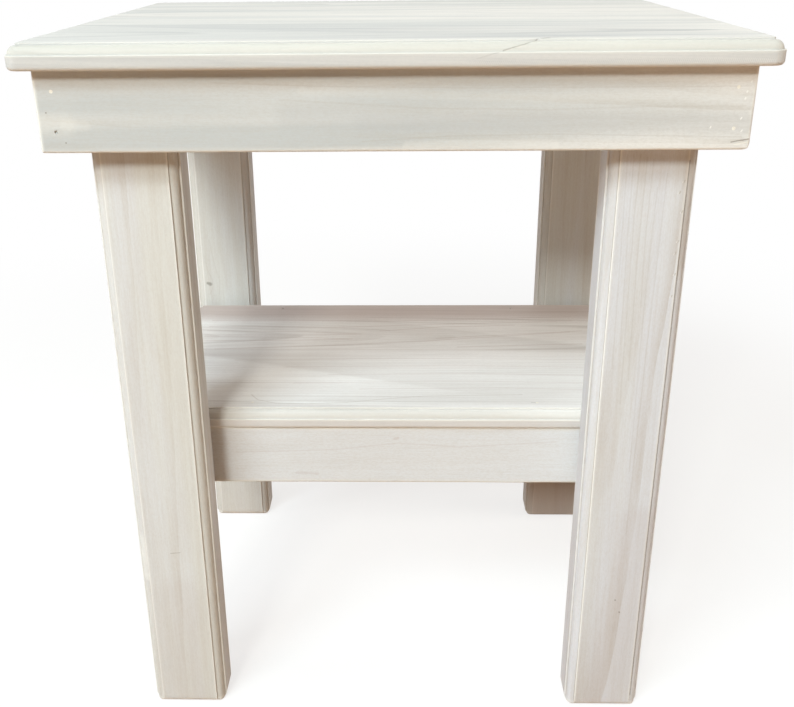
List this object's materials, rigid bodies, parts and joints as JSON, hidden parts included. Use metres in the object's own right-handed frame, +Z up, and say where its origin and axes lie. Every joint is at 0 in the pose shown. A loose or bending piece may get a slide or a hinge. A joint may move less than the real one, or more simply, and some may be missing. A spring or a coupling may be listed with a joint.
{
  "type": "end table with shelf",
  "caption": "Wooden end table with a routed-edge top, apron, beaded legs and a lower shelf on rails, whitewashed, for setting beside a seat or bed.",
  "frame": {"origin": "on the floor, under the middle of the table", "axes": "+Z up, front towards -Y, +X to the right seen from the front"},
  "size_m": [0.508, 0.43, 0.575],
  "materials": {
    "top_wood": "pale whitewash, sealed satin",
    "apron_wood": "pale whitewash, sealed satin",
    "leg_wood": "pale whitewash, sealed satin",
    "shelf_wood": "pale whitewash, sealed satin",
    "rail_wood": "pale whitewash, sealed satin",
    "cleat_wood": "bare sawn pine",
    "dowel_wood": "bare beech",
    "screw_steel": "zinc plated",
    "brad_steel": "zinc plated"
  },
  "bodies": {
    "root": {"top_board_front": "top_wood", "top_board_middle": "top_wood", "top_board_rear": "top_wood", "apron_front": "apron_wood", "apron_back": "apron_wood", "apron_left": "apron_wood", "apron_right": "apron_wood", "leg_front_left": "leg_wood", "leg_front_right": "leg_wood", "leg_back_left": "leg_wood", "leg_back_right": "leg_wood", "shelf_board_front": "shelf_wood", "shelf_board_rear": "shelf_wood", "shelf_rail_front": "rail_wood", "shelf_rail_back": "rail_wood", "shelf_rail_left": "rail_wood", "shelf_rail_right": "rail_wood", "top_cleat_front": "cleat_wood", "top_cleat_back": "cleat_wood", "rail_dowels": "dowel_wood", "leg_screws": "screw_steel", "cleat_screws": "screw_steel", "apron_brads": "brad_steel", "rail_brads": "brad_steel", "shelf_brads": "brad_steel"}
  },
  "joints": []
}
